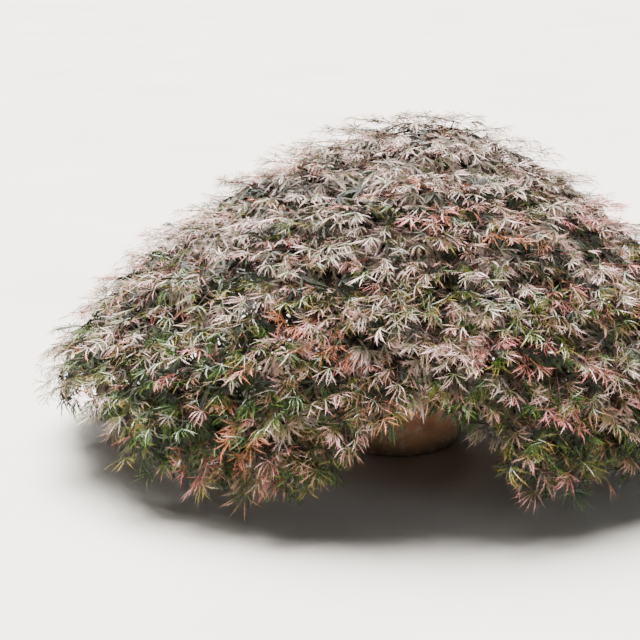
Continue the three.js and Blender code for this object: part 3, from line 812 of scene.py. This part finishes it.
shade = {
    "seed": 8, "growthSeed": 22, "tries": 20000, "spacing": 52, "closeTop": 0.1,
    "overHem": 32, "lowestSine": -0.2, "turn": 180, "turnShare": 0.4,
    "depths": [40, 66], "leafSize": 58, "fan": [-62, 0, 62], "fanStray": 20, "limbGap": 8,
    "petiole": 22, "petioleUp": 0.3, "petioleRadii": (0.8, 0.5),
    "leafDrop": 0.2, "skyShare": 0.4, "faceStray": 0.3, "sizeStray": (0.85, 0.3),
    "deepAfter": 48, "deepSize": 56,  # the simplest leaves stand in a second fan deeper in,
    "deepOverHem": 85,  # but not so near the hem, where they would show
}
limbPoints = np.concatenate([each["line"] for each in limbs])
limbRadii = np.concatenate([each["radii"] for each in limbs])


def nearLimb(point, gap):
    return (np.linalg.norm(limbPoints - point, axis=1) - limbRadii).min() < gap


def anyWay(random):
    return unit([random() - 0.5 for _ in range(3)])


def scatter(rule):
    random = seededRandom(rule["seed"])
    draws = np.array([random() for _ in range(3 * rule["tries"])]).reshape(-1, 3)
    sines = rule["lowestSine"] + (1 - rule["lowestSine"]) * draws[:, 1]
    points = surfacePoints(directionsTo(360 * draws[:, 0], sines))
    keep = points[:, 2] > hemHeights(points) + rule["overHem"]
    points, turns = points[keep], np.radians((2 * draws[keep, 2] - 1) * rule["turn"])
    chosen = []
    placed = np.full((len(points), 3), 1e9)
    for index, point in enumerate(points):
        taken = placed[:len(chosen)]
        spacing = rule["spacing"] * (1 - rule["closeTop"] * point[2] / crown["top"])
        if len(chosen) and np.min(np.sum((taken - point) ** 2, axis=1)) < spacing ** 2:
            continue
        placed[len(chosen)] = point
        chosen.append(index)
    points, turns = points[chosen], turns[chosen]
    out, down = surfaceFrames(points)
    return points, turns, out, down, ownersOf(points)


# Tones lie in drifts: pinkish grey above, olive, green and tan below, with flushed patches.
# The fall from pale tones above to dark ones below is partly the leaves' own colour and partly
# painted light: brighter where the light falls on top, darker beneath.
drifts = {  # what shifts each noise field, and the size of its patches
    "broad": (0, 170), "fine": (500, 70), "salmon": (37482, 120), "rose": (28617, 130),
}
flushFrom = {"salmon": 0.12, "rose": 0.14}  # how high the field is where such a patch starts
leastWeight = 0.01
innerTones = {"mauvePower": 3, "bronzeShare": 0.85, "bronzePower": 1.3}


def driftAt(name, point):
    shift, size = drifts[name]
    return noise.noise(Vector(point + shift) / size)


def heightOf(point):
    return min(1, max(0, point[2] / crown["top"]))


def toneOf(point, level, draw):
    height = heightOf(point)
    low = 1 - height
    drift = driftAt("broad", point) + 0.5 * driftAt("fine", point)
    rosy, warm = (max(0, driftAt(name, point) - flushFrom[name]) for name in ("rose", "salmon"))
    weights = {
        # Sprays sunk deeper, with a higher level, lean to darker tones: painted shade.
        "silver": 0.04 + 4.2 * height ** 2.5 - 0.5 * drift - 0.2 * level,
        "mauve": 1.9 * height - 0.16 + 0.6 * drift,
        "rose": 0.06 + 0.3 * height + 2.4 * rosy,
        "salmon": 0.02 + 0.08 * low ** 2 + (1.0 + 3.2 * height) * warm,
        "bronze": 0.3 + 0.6 * low + 0.1 * level,
        "olive": 0.06 + 0.7 * low + 0.15 * level - 0.3 * drift,
        "green": 0.02 + 1.0 * low ** 2 + 0.2 * level - 0.4 * drift,
    }
    weights = {tone: max(leastWeight, weight) for tone, weight in weights.items()}
    target = draw * sum(weights.values())
    for tone, weight in weights.items():
        target -= weight
        if target <= 0:
            return tone
    return tone


def innerToneOf(point, draw):
    # Inner leaves take the painted-shade tones. Higher up they are drawn paler, partly the leaves'
    # own colour and partly painted light from above.
    height = heightOf(point)
    if draw < height ** innerTones["mauvePower"]:
        return "shadeMauve"
    bronze = innerTones["bronzeShare"] * height ** innerTones["bronzePower"]
    return "shadeBronze" if draw < bronze else "shadeGreen"


def addLeaf(leaves, tone, hub, heading, face, size, random, shape):
    heading = unit(heading)
    face = unit(face - heading * np.dot(face, heading))
    lowest = hub[2] + size * min(0, heading[2]) - size * spray["hang"]
    if lowest < spray["floorGap"]:
        return
    variant = int(random() * shape["variants"])
    leaves.setdefault(tone, []).append((hub, heading, face, size, variant))


def dipOf(down):  # how far a spray's axis dips, in radians, on a surface that falls this way
    slope = math.asin(min(1, max(0, -down[2])))
    steep = max(0, slope - math.radians(spray["steepFrom"]))
    return math.radians(spray["flatDip"]) + spray["steepShare"] * steep


def growSprays():
    random = seededRandom(spray["growthSeed"])
    points, turns, out, down, owners = scatter(spray)
    leaves, innerLeaves, twigs, petioles, roots = {}, {}, [], [], []
    nodes = [(share, side) for share in spray["pairs"] for side in (-1, 1)] + [(1, 0)]
    for index, place in enumerate(points):
        outward = out[index]
        dip = dipOf(down[index])
        ahead = turned(unit((outward + down[index]) * [1, 1, 0]), up, turns[index])
        heading = ahead * math.cos(dip) - up * math.sin(dip)
        face = up * math.cos(dip) + ahead * math.sin(dip)
        level = index % len(spray["crests"])
        sunk = (spray["loosen"][level] - spray["flatten"]) * outward[2] ** spray["peakPower"]
        crest = spray["crests"][level] + sunk
        hub = place + (crest - spray["reach"] * max(0, np.dot(heading, outward))) * outward
        root = hub - spray["back"] * heading - spray["sink"] * outward
        if nearLimb(hub, spray["limbGap"]):
            continue
        knee = hub - spray["kneeBack"] * heading + spray["kneeUp"] * face
        tip = hub + spray["ahead"] * heading - spray["tipDrop"] * up
        line = bend(root, knee, tip, np.linspace(0, 1, spray["samples"])[:, None])
        roots.append((owners[index], root))
        twigs.append((line, np.linspace(*spray["twigRadii"], len(line))))
        sprayTone = toneOf(place, level, random())
        growth = spray["highLeaf"] - spray["lowLeaf"]
        leafSize = spray["lowLeaf"] + growth * place[2] / crown["top"]
        lift = spray["peakLift"] * outward[2] ** 2 - spray["wallSag"]
        for share, side in nodes:
            node = bend(root, knee, tip, share)
            angle = side * spray["pairAngle"] + (2 * random() - 1) * spray["angleStray"]
            away = turned(heading, face, math.radians(angle))
            reach = spray["petiole"] * drawn(random, *spray["petioleStray"])
            reach *= 1.2 - 0.5 * abs(share - 0.5)  # longest half way along the spray
            end = node + reach * away + spray["petioleUp"] * face
            petioles.append((np.array([node, end]), np.array(spray["petioleRadii"])))
            leafHeading = (spray["petioleShare"] * away + spray["sprayShare"] * heading + lift * up
                           + spray["headingStray"] * anyWay(random))
            leafFace = (spray["faceShare"] * face + spray["skyShare"] * up
                        + spray["faceStray"] * anyWay(random))
            size = leafSize * drawn(random, *spray["sizeStray"])
            # The pair nearest the root lies deepest and takes a darker shade tone: painted shade.
            if share == spray["pairs"][0]:
                tone = innerToneOf(place, random())
                addLeaf(innerLeaves, tone, end, leafHeading, leafFace, size, random, shadeLeaf)
            else:
                tone = toneOf(place, level, random()) if random() < spray["strays"] else sprayTone
                addLeaf(leaves, tone, end, leafHeading, leafFace, size, random, cutLeaf)
    return leaves, innerLeaves, twigs, petioles, roots


def growShade(innerLeaves, deepLeaves):
    random = seededRandom(shade["growthSeed"])
    points, turns, out, down, owners = scatter(shade)
    petioles, roots = [], []
    for index, place in enumerate(points):
        depth = shade["depths"][index % len(shade["depths"])]
        fans = [(depth, innerLeaves, shadeLeaf, shade["leafSize"])]
        if place[2] > hemHeights(place[None])[0] + shade["deepOverHem"]:
            fans.append((depth + shade["deepAfter"], deepLeaves, deepLeaf, shade["deepSize"]))
        ahead = turned(down[index], out[index], shade["turnShare"] * turns[index])
        for depth, leaves, shape, leafSize in fans:
            hub = place - depth * out[index]
            if nearLimb(hub, shade["limbGap"]):
                continue
            roots.append((owners[index], hub))
            # Deep fans always draw 1 and so take the darkest tone, shadeGreen: broad dark leaves as
            # painted shade deep in the crown.
            tone = innerToneOf(place, random() if leaves is innerLeaves else 1)
            for angle in shade["fan"]:
                angle = math.radians(angle + (2 * random() - 1) * shade["fanStray"])
                away = turned(ahead, out[index], angle)
                end = hub + shade["petiole"] * (away + shade["petioleUp"] * out[index])
                petioles.append((np.array([hub, end]), np.array(shade["petioleRadii"])))
                size = leafSize * drawn(random, *shade["sizeStray"])
                face = out[index] + shade["skyShare"] * up + shade["faceStray"] * anyWay(random)
                heading = away - shade["leafDrop"] * up
                addLeaf(leaves, tone, end, heading, face, size, random, shape)
    return petioles, roots


# Shoots grow outwards from each mass's hub. Each root in turn lengthens the shoot whose end is the
# nearest fork to it, or starts a new shoot from that fork. Bare side twigs stand off them.
shoot = {
    "seed": 33, "stemRadius": 5.4, "hubRadius": 3.8, "stemBack": 6, "stemArch": 4,
    "rootRadius": 3.4, "tipRadius": 1.5, "nearHub": 150, "farShare": 0.7,
    "sideTwigs": 0.6, "sideLength": 55, "sideStray": (0.5, 1), "sideRadii": (1.3, 0.6),
    "sideBend": 5, "sideDrop": 0.2,
    "floorGap": 30, "fullest": 0.96,  # how near the crown's surface, which is 1, a side twig ends
}


def chainsFrom(hub, roots):
    forks, chains, chainOf = [hub], [], [None]
    for root in sorted(roots, key=lambda root: np.linalg.norm(root - hub)):
        near = int(np.argmin(np.linalg.norm(np.array(forks) - root, axis=1)))
        chain = chainOf[near]
        if chain is not None and chains[chain][-1] is forks[near]:
            chains[chain].append(root)
        else:
            chains.append([forks[near], root])
            chain = len(chains) - 1
        forks.append(root)
        chainOf.append(chain)
    return chains


def growShoots(roots):
    random = seededRandom(shoot["seed"])
    stems, shoots, sideTwigs = [], [], []
    for index, mass in enumerate(masses):
        hub, foot = mass["hub"], mass["foot"]
        start = foot - shoot["stemBack"] * mass["heading"]
        stem = smoothLine([start, (foot + hub) / 2 + shoot["stemArch"] * up, hub], 6)
        stems.append((stem, np.linspace(shoot["stemRadius"], shoot["hubRadius"], len(stem))))
        for chain in chainsFrom(hub, [root for owner, root in roots if owner == index]):
            line = smoothLine(chain, 3)
            nearHub = np.linalg.norm(chain[0] - hub) < shoot["nearHub"]
            first = shoot["rootRadius"] * (1 if nearHub else shoot["farShare"])
            shoots.append((line, np.linspace(first, shoot["tipRadius"], len(line))))
            for point in chain[1:]:
                if random() > shoot["sideTwigs"]:
                    continue
                drift = unit([random() - 0.5, random() - 0.5, random() - 0.5 - shoot["sideDrop"]])
                end = point + shoot["sideLength"] * drawn(random, *shoot["sideStray"]) * drift
                if end[2] < shoot["floorGap"] or fullness(end[None])[0] > shoot["fullest"]:
                    continue
                middle = (point + end) / 2 + shoot["sideBend"] * anyWay(random)
                side = smoothLine([point, middle, end], 2)
                sideTwigs.append((side, np.linspace(*shoot["sideRadii"], len(side))))
    return stems, shoots, sideTwigs


leaves, innerLeaves, sprayTwigs, petioles, roots = growSprays()
deepLeaves = {}
shadePetioles, shadeRoots = growShade(innerLeaves, deepLeaves)
stems, shoots, sideTwigs = growShoots(roots + shadeRoots)
outerCount, innerCount, deepCount = (
    sum(map(len, kind.values())) for kind in (leaves, innerLeaves, deepLeaves))
print(f"{len(roots)} sprays, {outerCount} leaves, {innerCount} inner and {deepCount} deep ones, "
      f"{len(shoots)} shoots")

for name, lines, sides, relief, material in (
        ("stems", stems, 10, 1.0, youngBark), ("shoots", shoots, 3, 0.6, twigBark),
        ("twigs", sprayTwigs + sideTwigs, 3, 0, twigBark),
        ("petioles", petioles + shadePetioles, 3, 0, twigBark)):
    finishPiece(tubes(name, lines, sides, relief, material), foliageNodes)

leavesOnHubs = leafTree()
leafMaterials = {name: leafMaterial(name, *colours) for name, (_, *colours) in leafTones.items()}
trianglesAPiece = 180000


def leafPieces(prefix, leaves, collection):
    perLeaf = sum(len(face.vertices) - 2 for face in collection.objects[0].data.polygons)
    share = trianglesAPiece // perLeaf
    for tone, rows in sorted(leaves.items()):
        for part in range(math.ceil(len(rows) / share)):
            hubs, headings, faces, sizes, variants = zip(*rows[part * share:(part + 1) * share])
            name = f"{prefix}_{tone}" + (f"_{part + 1}" if len(rows) > share else "")
            base = meshFrom(name, np.array(hubs), heading=headings, face=faces,
                            size=np.array(sizes) * mm, variant=np.array(variants, dtype=int))
            piece = grown(base, leavesOnHubs, {
                "Leaves": collection, "Material": leafMaterials[tone]})
            finishPiece(piece, foliageNodes)
            print(name, len(hubs), "leaves", len(piece.data.polygons), "faces")
    dropCollection(collection)


leafPieces("leaves", leaves, leafCollection("cutLeaf", cutLeaf, 3))
leafPieces("inner_leaves", innerLeaves, leafCollection("shadeLeaf", shadeLeaf, 4))
leafPieces("deep_leaves", deepLeaves, leafCollection("deepLeaf", deepLeaf, 6))
print("foliage laid")


# The pot, turned on a wheel: a flat foot, a flaring wall and a heavy band under the rim.
pot = {
    "height": 300, "baseRadius": 150, "neckRadius": 188, "rimRadius": 206, "bandHeight": 52,
    "wall": 14, "floor": 16, "edge": 4, "sides": 144, "cornerSteps": 4,
    "drains": 4, "drainRadius": 9, "drainCircle": 75, "drainSides": 24, "longestStep": 12,
    "wobble": 0.8, "wobblesPerMetre": 9, "wobbleFrom": 4, "wobbleRadius": 200,
}


def innerRadius(z):
    share = (z - pot["floor"]) / (pot["height"] - pot["floor"])
    flare = pot["rimRadius"] - pot["baseRadius"] - pot["edge"]
    return pot["baseRadius"] - pot["wall"] + flare * share


def roundedProfile(corners):  # corners are radius, height and how far the rounding reaches
    profile = [corners[0][:2]]
    for before, here, after in zip(corners, corners[1:], corners[2:]):
        middle = np.array(here[:2])
        start = middle + here[2] * unit(np.array(before[:2]) - middle)
        end = middle + here[2] * unit(np.array(after[:2]) - middle)
        for t in np.linspace(0, 1, pot["cornerSteps"] + 1):
            profile.append(tuple(bend(start, middle, end, t)))
    return profile + [corners[-1][:2]]


def filledIn(profile, longest):  # extra points wherever two stand far apart
    dense = [profile[0]]
    for before, after in zip(profile, profile[1:]):
        pieces = max(1, math.ceil(math.dist(before, after) / longest))
        step = np.array(after) - before
        dense += [tuple(np.array(before) + step * k / pieces) for k in range(1, pieces + 1)]
    return dense


def lathe(name, profile, sides):  # the first and last points are on the axis
    turns = 2 * np.pi * np.arange(sides) / sides
    rings = [np.stack([r * np.cos(turns), r * np.sin(turns), np.full(sides, z)], axis=1)
             for r, z in profile[1:-1]]
    points = np.concatenate(rings + [[[0, 0, profile[0][1]], [0, 0, profile[-1][1]]]])
    return meshFrom(name, points, faces=ringFaces(len(rings), sides))


def potPiece():
    bandFoot = pot["height"] - pot["bandHeight"]
    edge = pot["edge"]
    corners = [
        (0, 0, 0), (pot["baseRadius"], 0, edge), (pot["neckRadius"], bandFoot, 2.5),
        (pot["rimRadius"], bandFoot + edge, 4), (pot["rimRadius"], pot["height"], 5),
        (innerRadius(pot["height"]), pot["height"], 5),
        (innerRadius(pot["floor"]), pot["floor"], 6), (0, pot["floor"], 0),
    ]
    profile = filledIn(roundedProfile(corners), pot["longestStep"])
    piece = lathe("clay_pot", profile, pot["sides"])
    for vertex in piece.data.vertices:  # a thrown pot is never quite round
        place = vertex.co
        if place.z > pot["wobbleFrom"] * mm:
            push = noise.noise(place * pot["wobblesPerMetre"]) * pot["wobble"] * mm
            place.x += push * place.x / (pot["wobbleRadius"] * mm)
            place.y += push * place.y / (pot["wobbleRadius"] * mm)
    holes = []
    for drain in range(pot["drains"]):
        turn = 2 * math.pi * (drain + 0.5) / pot["drains"]
        circle = pot["drainCircle"] * mm
        bpy.ops.mesh.primitive_cylinder_add(
            vertices=pot["drainSides"], radius=pot["drainRadius"] * mm, depth=3 * pot["floor"] * mm,
            location=(circle * math.cos(turn), circle * math.sin(turn), 0))
        holes.append(bpy.context.object)
    for hole in holes:
        cut = piece.modifiers.new("drain", "BOOLEAN")
        cut.operation = "DIFFERENCE"
        cut.object = hole
    depsgraph = bpy.context.evaluated_depsgraph_get()
    mesh = bpy.data.meshes.new_from_object(piece.evaluated_get(depsgraph))
    piece.modifiers.clear()
    piece.data = mesh
    for hole in holes:
        bpy.data.objects.remove(hole)
    mesh.materials.clear()
    mesh.materials.append(firedClay)
    mesh.shade_smooth()
    finishPiece(piece, ["pot"])


# Soil with a mulch of bark chips and a little grit.
soil = {
    "level": 272, "edgeDrop": 8, "flatRadius": 95, "gap": 0.9, "floorGap": 0.3,
    "lump": 16, "crumb": 6.4, "lumpHeight": 3.5, "sink": 0.4, "sides": 96, "longestStep": 9,
}
topping = {
    "mulch": {"spacing": 13, "largest": 13, "seed": 4, "flatness": 0.22, "material": barkMulch},
    "grit": {"spacing": 17, "largest": 4.2, "seed": 9, "flatness": 0.7, "material": pumiceGrit},
}
chipForms = 6


def soilPiece():
    edgeLevel = soil["level"] - soil["edgeDrop"]
    bottom = pot["floor"] + soil["floorGap"]
    corners = [(0, bottom), (innerRadius(bottom) - soil["gap"], bottom),
               (innerRadius(edgeLevel) - soil["gap"], edgeLevel),
               (soil["flatRadius"], soil["level"]), (0, soil["level"])]
    piece = lathe("potting_soil", filledIn(corners, soil["longestStep"]), soil["sides"])
    for vertex in piece.data.vertices:
        place = vertex.co
        if place.z > (edgeLevel - 1) * mm:
            lump = noise.noise(place / (soil["lump"] * mm))
            lump += 0.5 * noise.noise(place / (soil["crumb"] * mm))
            place.z += soil["lumpHeight"] * mm * (lump - soil["sink"])
    piece.data.materials.append(pottingSoil)
    return finishPiece(piece, ["soil"])


def chipCollection(name, seed, flatness):
    random = seededRandom(seed)
    meshes = []
    for _ in range(chipForms):
        form = bmesh.new()
        bmesh.ops.create_icosphere(form, subdivisions=1, radius=1)
        for vertex in form.verts:
            vertex.co *= 0.7 + 0.6 * random()
            vertex.co.y *= 0.5
            vertex.co.z *= flatness
        mesh = bpy.data.meshes.new(name)
        form.to_mesh(mesh)
        form.free()
        meshes.append(mesh)
    return collectionOf(name, meshes)


def toppingTree():
    tree, groupIn = newTree("toppingOnSoil", {
        "Chips": "Collection", "Spacing": "Float", "Largest": "Float", "Seed": "Int",
        "Material": "Material"})
    normal = firstOf(tree, "GeometryNodeInputNormal")
    facing = addNode(tree, "ShaderNodeSeparateXYZ", {0: normal}).outputs["Z"]
    onTop = firstOf(tree, "FunctionNodeCompare", {0: facing, 1: 0.6}, operation="GREATER_THAN")
    points = firstOf(tree, "GeometryNodeDistributePointsOnFaces", {
        "Mesh": groupIn["Geometry"], "Selection": onTop, "Distance Min": groupIn["Spacing"],
        "Density Max": 9000.0, "Seed": groupIn["Seed"]}, distribute_method="POISSON")
    spin = firstOf(tree, "FunctionNodeRandomValue", {
        0: (-0.5, -0.5, 0), 1: (0.5, 0.5, 6.28), "Seed": groupIn["Seed"]}, data_type="FLOAT_VECTOR")
    size = addNode(tree, "FunctionNodeRandomValue", {2: 0.35, 3: 1.0, "Seed": groupIn["Seed"]})
    size = mathNode(tree, "MULTIPLY", size.outputs[1], groupIn["Largest"])
    endWithInstances(tree, groupIn, points, groupIn["Chips"], {"Rotation": spin, "Scale": size})
    return tree


potPiece()
soilBed = soilPiece()
toppingOnSoil = toppingTree()
for name, style in topping.items():
    chips = chipCollection(name + "Chip", style["seed"], style["flatness"])
    base = newObject("soil_" + name, soilBed.data.copy())
    piece = grown(base, toppingOnSoil, {
        "Chips": chips, "Spacing": style["spacing"] * mm, "Largest": style["largest"] * mm,
        "Seed": style["seed"], "Material": style["material"]})
    finishPiece(piece)
    dropCollection(chips)
print("pot and soil made")


# A pale floor, soft light from above and a camera that looks gently down.
studio = {
    "floorSize": 60, "floorPatch": 900, "sky": "#EEF0EC", "skyStrength": 0.16,
    "eye": (-0.18, -3.0, 1.20), "target": (-0.18, 0, 0.283), "focalPixels": 1340, "imageWidth": 640,
}
softSun = {
    "from": (-0.3, 1.0, 1.9), "target": (0, 0, 0), "strength": 33, "spread": 40,
    "colour": "#FFFCF8",
}
softBox = {
    "from": (2.4, -3.2, 2.6), "target": (0, 0, 0.3), "strength": 17, "size": 2.4,
    "colour": "#EEF3FF",
}


def aimed(thing, place, target):
    thing.location = place
    thing.rotation_euler = (Vector(target) - thing.location).to_track_quat("-Z", "Y").to_euler()
    return thing


def addLight(name, kind, rule):
    lamp = bpy.data.lights.new(name, kind)
    lamp.energy = rule["strength"]
    lamp.color = linearColour(rule["colour"])[:3]
    aimed(newObject(name, lamp), rule["from"], rule["target"])
    return lamp


floorMaterial, floorTree, floorShader, floorWhere = newMaterial("paleStudioFloor", Roughness=0.9)
floorPatches = noiseField(floorTree, floorWhere, studio["floorPatch"], 2)
floorStops = [(0.3, "#B9B6B0"), (0.7, "#C1BEB8")]
paint(floorTree, floorShader, colourRamp(floorTree, floorPatches, floorStops))
half = studio["floorSize"] / 2 / mm
floorCorners = [(-half, -half, 0), (half, -half, 0), (half, half, 0), (-half, half, 0)]
floor = meshFrom("floor", floorCorners, faces=[(0, 1, 2, 3)])
floor.data.materials.append(floorMaterial)

world = bpy.data.worlds.new("softSky")
bpy.context.scene.world = world
world.use_nodes = True
background = world.node_tree.nodes["Background"]
background.inputs["Color"].default_value = linearColour(studio["sky"])
background.inputs["Strength"].default_value = studio["skyStrength"]

box = addLight("softbox0", "AREA", softBox)
box.shape, box.size = "DISK", softBox["size"]
sun = addLight("softSun", "SUN", softSun)
sun.angle = math.radians(softSun["spread"])

camera = bpy.data.cameras.new("camera")
camera.lens = studio["focalPixels"] / studio["imageWidth"] * camera.sensor_width
bpy.context.scene.camera = aimed(newObject("camera", camera), studio["eye"], studio["target"])

print("studio set")
